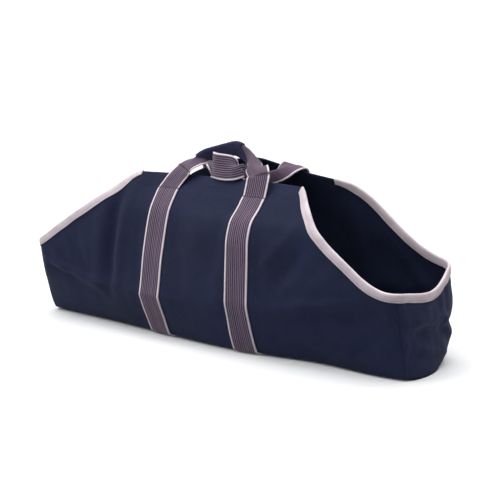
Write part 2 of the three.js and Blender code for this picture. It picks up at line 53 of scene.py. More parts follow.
# %% Camera
MM = 0.001
eye = Vector((0.9215, -1.2347, 0.4424))
aim = Vector((0.0385, 0.0, 0.1349))
camera = bpy.data.objects.new("camera", bpy.data.cameras.new("camera"))
camera.data.lens = 75.6
camera.data.sensor_width = 36
camera.location = eye
camera.rotation_euler = (aim - eye).to_track_quat("-Z", "Y").to_euler()
bpy.context.collection.objects.link(camera)
bpy.context.scene.camera = camera
print("camera is", round((eye - aim).length, 3), "m from the carrier")

# %% [markdown]
# The carrier's sizes are in millimetres and the same as the solids'. Soft shapes are easiest to
# steer with short tables: each gives a few measured rows, and a smooth curve joins them.

# %% Sizes
body_length, belly_width, belly_height = 650, 182, 67
front_height, back_height = 241, 267
front_top_length, back_top_length, front_pull = 294, 300, 4
canvas_wall, hem_wall, hem_depth, stitch_depth = 2, 3, 26, 19
bottom_round, foot_height = 7, 0.09 * belly_height
rim_front_height, rim_back_height, rim_sag = 126, 136, 12
end_corner_radius, end_foot_radius, end_bulge = 22, 3, 12
binding_depth, binding_wall, binding_start = 10, 1, 3
webbing_width, webbing_wall, strap_spacing = 38, 2, 160
strap_shelf, strap_clearance = 10, 1
handle_rise, handle_reach, fold_radius = 51, 30, 1.8
wrap_wall, wrap_margin, seat_gap = 1.2, 0.5, 0.5
half_length, half_belly, half_spacing = body_length / 2, belly_width / 2, strap_spacing / 2
half_webbing, half_canvas, half_hem = webbing_width / 2, canvas_wall / 2, hem_wall / 2
fold_length = math.pi * fold_radius
half_fold = fold_length / 2
strap_stack = webbing_wall + seat_gap + half_canvas
FRONT, BACK = -1, 1
ends = ((-1, "left"), (1, "right"))
print("the trough is", body_length, "mm long and", belly_width, "mm wide")

# %% Tables
bottom_plan = dict(
    at=[-1.0, -0.6, -0.25, 0.0, 0.2, 0.31, 0.6, 0.85, 1.0],
    half=[0.50, 0.55, 0.65, 0.72, 0.73, 0.68, 0.54, 0.59, 0.54],
)
swell = dict(
    at=[0, 0.09, 0.24, 0.57, 1.0],
    strap=[0, 0.12, 0.30, 0.62, 1.0],
    end_front=[0, 0.1, 0.28, 0.62, 1.0],
    end_back=[0, 0.3, 0.66, 0.94, 1.0],
)
side = dict(
    at=[0, 0.07, 0.2, 0.34, 0.53, 0.7, 0.8, 0.9, 1],
    front_left=[1, 0.97, 0.925, 0.88, 0.79, 0.69, 0.575, 0.41, 0.21],
    front_right=[0.97, 1, 0.99, 0.98, 0.97, 0.88, 0.68, 0.48, 0.25],
    back_left=[1, 1, 0.985, 0.96, 0.9, 0.81, 0.7, 0.56, 0.42],
    back_right=[0.99, 1, 0.985, 0.96, 0.88, 0.77, 0.66, 0.53, 0.4],
    end_front_left=[0.86, 0.89, 0.93, 0.95, 0.95, 0.94, 0.93, 0.92, 0.91],
    end_front_right=[0.71, 0.75, 0.84, 0.92, 0.93, 0.92, 0.91, 0.9, 0.89],
    end_back_left=[1, 0.99, 0.96, 0.92, 0.9, 0.89, 0.88, 0.87, 0.86],
    end_back_right=[1, 1, 0.99, 0.95, 0.9, 0.88, 0.87, 0.86, 0.85],
)
arch = dict(
    at=[-1, -0.8, -0.53, -0.235, 0.175, 0.41, 0.7, 1],
    height=[0.79, 0.862, 0.918, 0.968, 1, 0.974, 0.936, 0.905],
)
scoop = dict(
    at=[0, 0.05, 0.11, 0.18, 0.25, 0.34, 0.42, 0.51, 0.63, 0.71, 0.8, 0.89, 1],
    front_left=[0, 0.035, 0.115, 0.21, 0.29, 0.385, 0.472, 0.563, 0.69, 0.772, 0.868, 0.958, 1.048],
    front_right=[0, 0.05, 0.135, 0.245, 0.355, 0.475, 0.575, 0.675, 0.81, 0.9, 0.975, 1.02, 1.045],
    back=[0, 0.02, 0.045, 0.1, 0.18, 0.31, 0.44, 0.575, 0.74, 0.83, 0.91, 0.965, 1],
)
print("rows of the scoops:", len(scoop["at"]))

# %% [markdown]
# A table is read on a smooth curve through its rows. An ordinary spline would swing past rows
# that lie unevenly, and the canvas would bulge where the real one doesn't, so this curve
# flattens wherever the rows turn.

# %% Reading a table
def mix(a, b, share):
    return a + (b - a) * share


def clamp(value, low=0.0, high=1.0):
    return max(low, min(high, value))


def ease(value):
    value = clamp(value)
    return value * value * (3 - 2 * value)


def read(table, column, at):
    """A column of a table at a place along it, on a curve that never swings past its rows."""
    xs, ys = table["at"], table[column]
    if at <= xs[0]:
        return ys[0]
    if at >= xs[-1]:
        return ys[-1]
    row = max(i for i in range(len(xs) - 1) if xs[i] <= at)
    slopes = [(ys[i + 1] - ys[i]) / (xs[i + 1] - xs[i]) for i in range(len(xs) - 1)]

    def lean(i):
        if i == 0 or i == len(xs) - 1:
            return slopes[max(i - 1, 0)]
        before, after = slopes[i - 1], slopes[i]
        return 0 if before * after <= 0 else 2 * before * after / (before + after)

    width = xs[row + 1] - xs[row]
    u = (at - xs[row]) / width
    start = ys[row] * (1 + 2 * u) * (1 - u) ** 2 + width * lean(row) * u * (1 - u) ** 2
    return start + ys[row + 1] * u * u * (3 - 2 * u) + width * lean(row + 1) * u * u * (u - 1)


print("back edge over the middle:", round(back_height * read(arch, "height", 0), 1), "mm")

# %% [markdown]
# The trough's outline is a function: for a place along the carrier and a height, how far out
# does the canvas stand? It swells from the floor to the belly line and leans in towards the
# hem. Writing it once lets the straps, bindings and seams ask the same question, so they all
# lie on the canvas.

# %% The trough's form
def end_at(x):
    return -1 if x < 0 else 1


def top_corner(face, end):
    return front_top_length / 2 + end * front_pull if face == FRONT else back_top_length / 2


def edge_height(face, x):
    """The height of a panel's edge: the top edge, then the scoop down to the end wall."""
    end = end_at(x)
    corner = top_corner(face, end)
    arched = back_height * read(arch, "height", clamp(x / corner, -1, 1))
    top = front_height if face == FRONT else arched
    rim = rim_front_height if face == FRONT else rim_back_height
    out = max(abs(x) - corner, 0) / (half_length - corner)
    column = "back" if face == BACK else ("front_left" if end < 0 else "front_right")
    return mix(top, rim, read(scoop, column, out))


def floor_height(x):
    """The height of the bottom's middle surface, raised where a strap runs under it."""
    past = abs(abs(x) - half_spacing) - half_webbing
    return half_canvas + (strap_stack - half_canvas) * ease(1 - (past - strap_clearance) / strap_shelf)


def bottom_half(x):
    return half_belly * read(bottom_plan, "half", x / half_length)


print("edges over the middle:", edge_height(FRONT, 0), round(edge_height(BACK, 0), 1), "mm")


# %% Half the trough's width
def side_half(face, x, z):
    """Half the trough's width on one face, at a place along it and a height."""
    name = "front" if face == FRONT else "back"
    outer = ease((abs(x) - half_spacing) / (half_length - half_spacing))
    across = ease((x + half_spacing) / strap_spacing)
    top = front_height if face == FRONT else back_height

    def share(up):
        inner = mix(read(side, name + "_left", up), read(side, name + "_right", up), across)
        end = read(side, "end_" + name + ("_left" if x < 0 else "_right"), up)
        return mix(inner, end, outer)

    if z >= belly_height:
        return half_belly * share((z - belly_height) / (top - belly_height))
    up = z / belly_height
    grown = mix(read(swell, "strap", up), read(swell, "end_" + name, up), outer)
    half = mix(bottom_half(x), half_belly * share(0), grown)
    turn = (z - floor_height(x)) / (foot_height - floor_height(x))
    if turn >= 1:
        return half
    return mix(bottom_half(x) - bottom_round, half, math.sin(max(turn, 0) * math.pi / 2))


print("half widths over the belly:", [round(side_half(FRONT, x, 70)) for x in (-300, -80, 80, 300)])

# %% [markdown]
# Canvas that has been packed and used keeps its folds: a soft valley down the left of the front
# panel, a crease along the belly line, and dents pulled by the straps. They are real shape, so
# they go into the mesh as bumps along short lines. A slow noise adds the small unevenness that
# no list would cover.

# %% Folds
# Each fold: face, start (x, z), end (x, z), half width, how far it stands out.
folds = [
    (FRONT, (-163, 222), (-168, 60), 10, -9.0),
    (FRONT, (-186, 212), (-190, 72), 14, 4.0),
    (FRONT, (-143, 228), (-148, 84), 10, 3.6),
    (FRONT, (-318, 99), (-190, 69), 6, 4.6),
    (FRONT, (-300, 82), (-196, 54), 9, -3.6),
    (FRONT, (150, 82), (292, 110), 8, 4.2),
    (FRONT, (168, 64), (304, 86), 11, -3.6),
    (FRONT, (196, 176), (126, 94), 11, -4.2),
    (FRONT, (180, 200), (112, 126), 8, 3.2),
    (FRONT, (236, 142), (160, 70), 11, 1.8),
    (FRONT, (-52, 206), (-20, 92), 13, -2.4),
    (FRONT, (48, 204), (26, 84), 13, -2.0),
    (FRONT, (-4, 214), (2, 110), 15, 2.0),
    (FRONT, (-250, 158), (-214, 84), 12, -2.4),
    (FRONT, (-292, 122), (-262, 70), 10, 1.8),
    (FRONT, (112, 40), (118, 196), 9, -1.6),
    (FRONT, (-112, 50), (-112, 200), 8, -1.6),
    (FRONT, (250, 22), (306, 66), 9, -2.2),
    (FRONT, (-130, 20), (-280, 30), 8, 1.6),
    (BACK, (-170, 200), (-160, 70), 12, -5.0),
    (BACK, (-196, 180), (-190, 80), 12, 2.0),
    (BACK, (170, 214), (186, 84), 11, -4.0),
    (BACK, (10, 236), (-6, 96), 16, -3.0),
    (BACK, (-40, 226), (-30, 80), 12, 2.0),
    (BACK, (48, 226), (36, 90), 12, 2.0),
    (BACK, (240, 146), (300, 70), 12, -3.0),
    (BACK, (-300, 90), (-180, 66), 8, 2.4),
    (BACK, (140, 66), (290, 84), 8, 2.4),
]
print("folds:", len(folds))

# %% [markdown]
# A fold is a bell-shaped ridge or groove along its line, fading at both ends. Folds also fade
# out towards the rim, the foot, the ends and under the straps, where sewing holds the canvas
# flat. The surface function then answers where the canvas lies, folds and all.

# %% Folded canvas
rim_fade, foot_fade, strap_fade, end_fade = 34, 26, 22, 26


def bell(far, width):
    """1 at a place, falling softly to nothing beyond that width."""
    return math.exp(-((far / width) ** 2))


def uneven(x, y, z):
    """Smooth noise between about -1 and 1."""
    return noise.noise(Vector((x, y, z)))


def fold_height(face, x, z):
    """How far the canvas stands out of its plain form, in millimetres."""
    lift = 0.0
    for side_of, (x0, z0), (x1, z1), width, height in folds:
        dx, dz = x1 - x0, z1 - z0
        along = ((x - x0) * dx + (z - z0) * dz) / (dx * dx + dz * dz)
        u = clamp(along)
        far = math.hypot(x - x0 - u * dx, z - z0 - u * dz)
        if side_of == face and far <= 3 * width:
            fade = 0.35 + 0.65 * math.sin(math.pi * clamp(along, 0.06, 0.94))
            lift += height * bell(far, width) * fade
    slow = uneven(x / 75, face * 3.1, z / 58)
    quick = uneven(x / 30 + 9, face * 5.3, z / 36)
    lift += 3.4 * slow + 1.5 * quick
    rim = clamp((edge_height(face, x) - z) / rim_fade)
    foot = clamp((z - 5) / foot_fade)
    strap = clamp((abs(abs(x) - half_spacing) - 10) / strap_fade)
    end = clamp((half_length - 14 - abs(x)) / end_fade)
    return lift * rim * foot * end * (0.25 + 0.75 * strap)


def skin(face, x, z, lift=0.0):
    """A point on the canvas, or that far out from it."""
    step = 0.5
    half = side_half(face, x, z)
    over_x = (side_half(face, x + step, z) - half) / step
    over_z = (side_half(face, x, z + step) - half) / step
    out = Vector((-over_x, face, -over_z)).normalized()
    return Vector((x, face * half, z)) + out * (fold_height(face, x, z) + lift)


deepest = min(fold_height(FRONT, -166, z) for z in range(80, 210, 5))
print("deepest point of the left valley:", round(deepest, 1), "mm")

# %% [markdown]
# Every piece of cloth starts flat: a grid as large as the real cut, whose points are then moved
# to where the cloth lies, and which Solidify gives its wall. That keeps a flat map of the cloth
# in the UVs, in metres, so that a weave or a line of stitches follows the threads round every
# bend.

# %% Cloth from a flat grid
def lengths(points):
    """Distances along a row of points, from its first."""
    steps = [(b - a).length for a, b in zip(points, points[1:])]
    return [0.0] + list(np.cumsum(steps))


def centred(points):
    """Distances along a row of points, from its middle."""
    run = lengths(points)
    return [d - run[-1] / 2 for d in run]


def flat_mesh(name, grid, across, along):
    """A grid whose points lie at grid[row][column], and the row and column of each point.

    The flat map keeps each point's place on the flat cloth, across and along it.
    """
    rows, columns = len(grid), len(grid[0])
    bm = bmesh.new()
    flat = bmesh.ops.create_grid(bm, x_segments=columns - 1, y_segments=rows - 1, size=1)
    uv = bm.loops.layers.uv.new("flat")
    place = {}
    for v in flat["verts"]:
        row, column = (v.co.y + 1) / 2 * (rows - 1), (v.co.x + 1) / 2 * (columns - 1)
        place[v] = (round(row), round(column))
    for face in bm.faces:
        for loop in face.loops:
            r, c = place[loop.vert]
            loop[uv].uv = (across[r][c] * MM, along[r][c] * MM)
    for v, (r, c) in place.items():
        v.co = Vector(grid[r][c]) * MM
    order = [place[v] for v in bm.verts]
    mesh = bpy.data.meshes.new(name)
    bm.to_mesh(mesh)
    bm.free()
    mesh.shade_smooth()
    print(name, rows, "x", columns, "points")
    return mesh, order


print("three points 3 and 4 mm apart:", lengths([Vector((x, 0, 0)) for x in (0, 3, 7)]))


# %% A wall for the cloth
def cloth(name, grid, wall, across, along, thin=None, below=None):
    """A piece of cloth with its wall. thin gives each point's share of it, below its distance
    from the hem's edge."""
    mesh, order = flat_mesh(name, grid, across, along)
    piece = bpy.data.objects.new(name, mesh)
    bpy.context.collection.objects.link(piece)
    solid = piece.modifiers.new("wall", "SOLIDIFY")
    solid.thickness = wall * MM
    solid.offset = 0
    solid.use_even_offset = True
    solid.thickness_clamp = 1
    if thin:
        group = piece.vertex_groups.new(name="wall")
        for i, (r, c) in enumerate(order):
            group.add([i], thin(r, c), "REPLACE")
        solid.vertex_group = "wall"
    if below:
        layer = mesh.attributes.new("below_edge", "FLOAT", "POINT")
        layer.data.foreach_set("value", [below(r, c) for r, c in order])
    return piece


def dress(piece, material, slot_name, *nodes):
    piece.data.materials.append(material)
    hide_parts(*nodes)
    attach(piece, "root")
    return piece


print("single canvas:", canvas_wall, "mm, hem:", hem_wall, "mm")

# %% [markdown]
# The body is one long piece of canvas: down the front, under the load and up the back. At its
# four upright corners it turns 45 degrees to meet the end walls at a seam. The rows are closest
# in the hem, where the canvas is folded double and the stitches pull it into small puckers.

# %% Corners
seam_half_gap = 0.2
# Each bulge of the right end's back corner: height, half width, how far out.
back_bulges = [(84, 25, 5.5), (36, 13, 3.4), (56, 6, -2.6)]


def corner_radius(z):
    return mix(end_foot_radius, end_corner_radius, ease(z / belly_height))


def corner_edge(end, face, turn):
    return edge_height(face, end * (half_length - end_corner_radius * (1 - math.sin(turn))))


def back_bulge(z):
    return sum(out * bell(z - up, width) for up, width, out in back_bulges)


def corner_point(end, face, turn, z):
    radius = corner_radius(z)
    half = side_half(face, end * half_length, z)
    x = end * (half_length - radius + radius * math.sin(turn))
    if end > 0 and face == BACK:
        x += back_bulge(z) * ease(turn / (math.pi / 2))
    return Vector((x, face * (half - radius + radius * math.cos(turn)), z))


def seam_turn(z, toward_end):
    gap = seam_half_gap if toward_end else -seam_half_gap
    return math.pi / 4 + gap / corner_radius(z)


print("corner radius at the belly:", corner_radius(belly_height), "mm")

# %% Body rows
rows_below, rows_above, rows_in_hem, under_points = 20, 34, 15, 15
side_rows = rows_below + rows_above + rows_in_hem
foot_reach = 1.6


def heights(low, edge):
    """Heights of one side's rows, from the floor, where they crowd, to the panel's edge."""
    hem = min(hem_depth, 0.4 * (edge - belly_height))
    below = [low + (belly_height - low) * (k / rows_below) ** 1.4 for k in range(rows_below)]
    above = [mix(belly_height, edge - hem, k / rows_above) for k in range(rows_above)]
    return below + above + [edge - hem + hem * k / (rows_in_hem - 1) for k in range(rows_in_hem)]


def hem_pucker(face, x, down):
    """The small waves that a line of stitches leaves in a doubled hem."""
    past = down - stitch_depth
    return 0.75 * uneven(x / 5.5, face * 2.2, 0) * bell(past, 8) - 0.45 * bell(past, 1.6)


def side_row(face, x):
    edge = edge_height(face, x)
    on_hem = ease((top_corner(face, end_at(x)) - abs(x)) / 10)
    on_strap = clamp((abs(abs(x) - half_spacing) - half_webbing) / 8)
    return [skin(face, x, z, on_hem * on_strap * hem_pucker(face, x, edge - z))
            for z in heights(floor_height(x), edge)]


print("points round one section:", 2 * side_rows + under_points)


# %% Sections of the body
def under_row(x, reach):
    """The bottom between its two edges; reach gives how far along each point lies."""
    inside = bottom_half(x) - bottom_round
    ys = [2 * k / (under_points + 1) - 1 for k in range(1, under_points + 1)]
    return [Vector((reach(y), y * inside, floor_height(x))) for y in ys]


def straight_section(x):
    return side_row(FRONT, x)[::-1] + under_row(x, lambda y: x) + side_row(BACK, x)


def corner_section(end, share):
    """A section that turns into the corner; the bottom reaches out under the end wall."""
    x = end * half_length
    low = floor_height(x)
    radius = corner_radius(0)
    out = half_length - radius + radius * math.sin(share * math.pi / 4)

    def one_side(face):
        zs = heights(low, corner_edge(end, face, share * math.pi / 4))
        return [corner_point(end, face, share * seam_turn(z, False), z) for z in zs]

    def reach(y):
        return end * (out + share * (foot_reach + end_bulge * (1 - 0.8 * y * y)))

    return one_side(FRONT)[::-1] + under_row(x, reach) + one_side(BACK)


body_spans = 168
corner_shares = [0.14, 0.28, 0.42, 0.56, 0.7, 0.85, 1]
straight_end = half_length - end_corner_radius
body_grid = [corner_section(-1, share) for share in reversed(corner_shares)]
places = [straight_end * (2 * k / body_spans - 1) for k in range(body_spans + 1)]
body_grid += [straight_section(x) for x in places]
body_grid += [corner_section(1, share) for share in corner_shares]
print("sections:", len(body_grid))

# %% [markdown]
# The hem is doubled canvas, so its wall is thicker. Stitching on it runs at the same distance
# from the edge all along, though the back edge is arched. So each point also stores how far it
# lies below the edge: the canvas finish reads that number to place its thread.

# %% Walls and hem distances
far_below = 0.1


def face_of(j):
    return FRONT if j < side_rows else BACK


def on_bottom(j):
    return side_rows <= j < side_rows + under_points


def has_hem(i, j):
    x = body_grid[i][j].x
    return abs(x) <= top_corner(face_of(j), end_at(x))


def body_wall(i, j):
    from_edge = min(j, len(body_grid[0]) - 1 - j)
    doubled = from_edge < rows_in_hem and has_hem(i, j)
    return 1 if doubled else canvas_wall / hem_wall


def body_below(i, j):
    if on_bottom(j) or not has_hem(i, j):
        return far_below
    top = body_grid[i][0] if face_of(j) == FRONT else body_grid[i][-1]
    return (top - body_grid[i][j]).length * MM


print("hem stitches lie", stitch_depth, "mm below the edge")

# %% The body sheet
body_middle = len(body_grid[0]) // 2
body_runs = [lengths(row) for row in body_grid]
body_along = [[d - run[body_middle] for d in run] for run in body_runs]
belly_line = centred([row[side_rows - rows_below] for row in body_grid])
body_across = [[d] * len(body_grid[0]) for d in belly_line]
canvas_body = cloth("canvas_body", body_grid, hem_wall, body_across, body_along,
                    thin=body_wall, below=body_below)
print("body area:", round(sum(p.area for p in canvas_body.data.polygons), 3), "m2")

# %% [markdown]
# Each end wall is a smaller piece of canvas that closes the trough to about half its height. It
# is bowed out by what it has held. The right one, nearest to the camera, has a
# ridge that runs across it and falls to the back corner.

# %% End walls
ridge = dict(at=[-60, -39, -10, 29, 53, 66], height=[79, 79, 78, 75, 54, 44])
wall_turns, wall_flats, wall_foot = 8, 44, canvas_wall + 0.1
wall_columns = 2 * wall_turns + wall_flats


def wall_lift(end, y, z):
    """How far an end wall stands out of its plain bow."""
    soft = 2.4 * uneven(y / 34, z / 30, end * 7) + 1.3 * uneven(y / 13 + 4, z / 15, end * 3)
    if end < 0:
        return soft + 2.0 * bell(z - 62 + y * 0.2, 10)
    past = z - read(ridge, "height", y)
    soft += 4.6 * bell(past, 8) - 4.2 * bell(past + 18, 10)
    soft -= 4.0 * bell(y - 50, 9) * bell(z - 57, 12)
    return soft + 2.4 * bell(z - 34 + y * 0.35, 6) - 1.8 * bell(z - 22 + y * 0.2, 6)


def end_rim(end, j):
    """The height of an end wall's rim, which dips between its corners."""
    across = j / (wall_columns - 1)
    share = min(j, wall_columns - 1 - j, wall_turns - 1) / (wall_turns - 1)
    turn = mix(math.pi / 4, math.pi / 2, share)
    dip = rim_sag * math.sin(math.pi * across) ** 2
    return mix(corner_edge(end, FRONT, turn), corner_edge(end, BACK, turn), across * across) - dip


def end_plain(end, j, z):
    """A point of an end wall without its crumples, and how far they may grow there."""
    from_seam = min(j, wall_columns - 1 - j)
    if from_seam < wall_turns:
        share = from_seam / (wall_turns - 1)
        turn = mix(seam_turn(z, True), math.pi / 2, share)
        return corner_point(end, FRONT if j < wall_turns else BACK, turn, z), 0.5 * ease(share)
    across = (j - wall_turns + 1) / (wall_flats + 1)
    front = corner_radius(z) - side_half(FRONT, end * half_length, z)
    back = side_half(BACK, end * half_length, z) - corner_radius(z)
    bow = end_bulge * (1 - (2 * across - 1) ** 2) * (1 - 0.4 * ease(z / rim_front_height))
    pushed = back_bulge(z) * bell(1 - across, 0.3) if end > 0 else 0
    point = Vector((end * (half_length + bow) + pushed, mix(front, back, across), z))
    return point, 0.5 + 0.5 * ease(min(across, 1 - across) * 7)


print("rim of the right wall at its middle:", round(end_rim(1, wall_columns // 2)), "mm")


# %% End wall pieces
def end_grid(end):
    grid = []
    zs = [heights(wall_foot, end_rim(end, j)) for j in range(wall_columns)]
    for k in range(side_rows):
        row = []
        for j in range(wall_columns):
            z, rim = zs[j][k], zs[j][-1]
            point, hold = end_plain(end, j, z)
            fade = ease((z - 4) / 20) * hold * (0.4 + 0.6 * ease((rim - z) / 16))
            point.x += end * fade * wall_lift(end, point.y, z)
            row.append(point)
        grid.append(row)
    return grid


end_grids, canvas_ends = {}, {}
for end, side_name in ends:
    grid = end_grids[end] = end_grid(end)
    up = list(zip(*[lengths(column) for column in zip(*grid)]))
    over = [centred(row) for row in grid]
    piece = cloth("canvas_end_" + side_name, grid, canvas_wall, over, up,
                  below=lambda i, j: far_below)
    canvas_ends[end] = piece
print("end walls:", side_rows, "rows high")

# %% [markdown]
# A pale tape is folded over each scooped rim. It follows the canvas, so its course is read from
# the canvas points themselves: for each place on the rim, the way out through the cloth and the
# way down the cloth. The tape's own section is a narrow arch over the edge, with two flat legs.

# %% Normals of a grid
def normals(grid, toward):
    """The way out of each point of a grid, turned to the side that toward gives."""
    found = []
    for i, row in enumerate(grid):
        line = []
        for j in range(len(row)):
            along = grid[min(i + 1, len(grid) - 1)][j] - grid[max(i - 1, 0)][j]
            across = row[min(j + 1, len(row) - 1)] - row[max(j - 1, 0)]
            way = along.cross(across).normalized()
            line.append(-way if way.dot(toward(i, j)) < 0 else way)
        found.append(line)
    return found


def body_out(i, j):
    if on_bottom(j):
        return Vector((0, 0, -1))
    x = body_grid[i][j].x
    past = max(abs(x) - straight_end, 0) / end_corner_radius
    return Vector((math.copysign(past, x), face_of(j), -0.2))


body_normals = normals(body_grid, body_out)
end_normals = {end: normals(end_grids[end], lambda i, j: Vector((end, 0, 0))) for end, _ in ends}
print("normals for", len(body_grid) * len(body_grid[0]), "points of the body")

# %% The rim's course
rows_by_rim, far_past = 30, 50


def body_frame(end, i, face):
    """Canvas points below the rim at one section, their normals, half the wall, the place."""
    turned = 1 if face == FRONT else -1
    points, ways = body_grid[i][::turned], body_normals[i][::turned]
    past = end * points[0].x - top_corner(face, end)
    half = half_hem if past < 0 else half_canvas
    return points[:rows_by_rim], ways[:rows_by_rim], half, past


def rim_frames(end):
    """The frames round one rim: front scoop, end wall, back scoop."""
    order = [i for i in range(len(body_grid)) if body_grid[i][0].x * end > 0][::end]
    front = [body_frame(end, i, FRONT) for i in order]
    back = [body_frame(end, i, BACK) for i in reversed(order)]
    wall = []
    for j in range(wall_columns):
        points = [row[j] for row in end_grids[end][::-1]]
        ways = [row[j] for row in end_normals[end][::-1]]
        wall.append((points[:rows_by_rim], ways[:rows_by_rim], half_canvas, far_past))
    return [frame_at for frame_at in front + wall + back if frame_at[3] > -binding_start]


print("places round the right rim:", len(rim_frames(1)))

# %% Binding tape
tape_leg, tape_arch, tape_ease = 9, 7, 0.35
tape_middle = tape_leg + tape_arch // 2


def tape_section(frames, k, end):
    """One section of the tape: up the outside, over the rim and down the inside."""
    points, ways, half, past = frames[k]
    before, after = frames[max(k - 1, 0)][0][0], frames[min(k + 1, len(frames) - 1)][0][0]
    along = (after - before).normalized()
    down = (points[1] - points[0]).normalized()
    stretch = min(1 / math.sqrt(max(1 - along.dot(down) ** 2, 0.2)), 2)
    depth = binding_depth * mix(0.7, 1, ease((past + binding_start) / 30)) * stretch
    depth += 0.5 * uneven(k / 6, end, 0)
    radius = half + tape_ease + binding_wall / 2
    run = lengths(points)

    def lie(d, side_of):
        row = max(i for i in range(len(run) - 1) if run[i] <= d)
        u = (d - run[row]) / (run[row + 1] - run[row])
        point, way = points[row].lerp(points[row + 1], u), ways[row].lerp(ways[row + 1], u)
        seam = 0.3 * bell(d / stretch - 7.6, 1.1)
        wave = 0.3 * uneven(k / 1.7, d / 6, end + side_of)
        return point + way * side_of * (radius + max(wave - seam, -0.25))

    up = along.cross(ways[0]).normalized()
    up = -up if up.z < 0 else up
    legs = [depth * (1 - s / tape_leg) for s in range(tape_leg)]
    turns = [math.pi * (s + 1) / (tape_arch + 1) for s in range(tape_arch)]
    over = [points[0] + ways[0] * radius * math.cos(t) + up * radius * math.sin(t) for t in turns]
    return [lie(d, 1) for d in legs] + over + [lie(d, -1) for d in reversed(legs)]


tapes = {}
for end, side_name in ends:
    frames = rim_frames(end)
    grid = [tape_section(frames, k, end) for k in range(len(frames))]
    run = lengths([row[tape_middle] for row in grid])
    piece = cloth("tape_" + side_name, grid, binding_wall, [centred(row) for row in grid],
                  [[d] * len(grid[0]) for d in run])
    round(run[-1] * MM, 3)
    tapes[end] = piece
    print("tape length:", round(run[-1]), "mm")

# %% [markdown]
# The webbing straps are flat woven bands, so they are grids too. Each runs from the middle of
# the bottom out to the side and up the canvas, then leaves it at the hem's stitching as a free
# handle and comes down the same way. The first rows ask the body where it is; the handle
# follows a smooth curve through the places where the photograph shows it.

# %% Strap legs
def strap_columns():
    """Places across the webbing: fine over its middle, where the handles fold."""
    fold = [half_fold * k / 4 for k in range(4)]
    flat = [half_fold + (half_webbing - half_fold) * (k / 8) ** 0.9 for k in range(9)]
    right = fold + flat
    return [-s for s in reversed(right[1:])] + right


columns = strap_columns()
strap_middle = len(columns) // 2
strap_under_rows, strap_end_gap = 16, 0.25


def leg_rows(face, leg):
    """Rows of a leg from the middle of the bottom up to the hem's stitches."""
    x0 = leg * half_spacing
    xs = [x0 + face * leg * s for s in columns]
    foot = bottom_half(x0) - bottom_round
    rows = []
    for k in range(strap_under_rows):
        y = face * mix(strap_end_gap, foot, k / (strap_under_rows - 1))
        rows.append([Vector((x, y, webbing_wall / 2)) for x in xs])
    top = edge_height(face, x0)
    zs = [z for z in heights(floor_height(x0), top)[1:] if z < top - stitch_depth - 1]
    for z in zs + [top - stitch_depth]:
        lift = (half_hem if z > top - hem_depth - 2 else half_canvas) + seat_gap + webbing_wall / 2
        stitches = [edge_height(face, x) - stitch_depth + 2 for x in xs]
        rows.append([skin(face, x, min(z, most), lift) for x, most in zip(xs, stitches)])
    return rows


print("strap columns:", len(columns))

# %% [markdown]
# The curve through the handle's points is a centripetal one: it stays close to its points and
# makes no loops where they lie near each other.

# %% Handle tables
# Across as a share of half the spacing, lean of the reach, up of the rise, fold, yaw, pitch.
front_handle = [
    (-0.93, -0.5, -0.14, 0, -4, 18), (-0.775, -0.16, 0.22, 0, -18, 40), (-0.65, 0.15, 0.49, 0.28, -18, 60),
    (-0.52, 0.47, 0.69, 0.84, -10, 74), (-0.36, 0.74, 0.79, 0.95, 0, 84), (-0.14, 0.87, 0.89, 0.97, 0, 88),
    (0.13, 0.9, 0.98, 0.97, 0, 88), (0.4, 0.76, 0.86, 0.88, 14, 76), (0.61, 0.42, 0.7, 0.7, 20, 58),
    (0.8, -0.22, 0.47, 0.5, 22, 26), (1.0, -0.61, 0.23, 0.1, 6, 8), (1.01, -0.72, 0, 0, 0, 0),
]
back_handle = [
    (-0.994, 0.783, -0.529, 0, 180, 8), (-0.975, 0.74, -0.353, 0, 180, 30),
    (-0.863, 0.423, -0.176, 0, 180, 78), (-0.625, -0.043, -0.147, 0, 323, 78),
    (-0.388, -0.61, -0.22, 0, 316, 60), (-0.244, -1.143, -0.24, 0, 296, 34),
    (-0.206, -1.577, -0.2, 0, 283, 14), (-0.185, -1.893, -0.15, 0, 298, 6),
    (-0.062, -2.12, -0.15, 0, 334, 2), (0.1, -2.17, -0.165, 0, 357, 8),
    (0.237, -2.177, -0.165, 0.1, 360, 18), (0.375, -2.143, -0.14, 0.4, 364, 46),
    (0.525, -1.9, -0.06, 0.85, 376, 76), (0.637, -1.46, -0.314, 0.95, 385, 85),
    (0.76, -1.143, -0.33, 0.9, 388, 80), (0.875, -0.843, -0.27, 0.75, 392, 72),
    (0.975, -0.51, -0.205, 0.4, 398, 72), (1.05, -0.143, -0.15, 0.1, 414, 76),
    (1.085, 0.207, -0.125, 0, 450, 70), (1.05, 0.623, -0.235, 0, 525, 38),
    (1.031, 0.8, -0.422, 0, 540, 10),
]
print("handle points:", len(front_handle), "front,", len(back_handle), "back")


# %% A curve through points
def curve_point(points, share):
    """A point of the centripetal curve through points, at a share of their spans."""
    last = len(points) - 1
    span = min(int(last * share), last - 1)
    u = last * share - span
    p1, p2 = points[span], points[span + 1]
    p0 = points[span - 1] if span > 0 else 2 * points[0] - points[1]
    p3 = points[span + 2] if span + 2 <= last else 2 * points[last] - points[last - 1]
    d1 = (p2 - p1).length ** 0.5
    d1 = 1.0 if d1 < 1e-4 else d1
    d0 = (p1 - p0).length ** 0.5
    d0 = d1 if d0 < 1e-4 else d0
    d2 = (p3 - p2).length ** 0.5
    d2 = d1 if d2 < 1e-4 else d2
    t1 = ((p1 - p0) / d0 - (p2 - p0) / (d0 + d1) + (p2 - p1) / d1) * d1
    t2 = ((p2 - p1) / d1 - (p3 - p1) / (d1 + d2) + (p3 - p2) / d2) * d1
    curved = (2 * p1 - 2 * p2 + t1 + t2) * u ** 3 + (3 * p2 - 3 * p1 - 2 * t1 - t2) * u ** 2
    return curved + t1 * u + p1


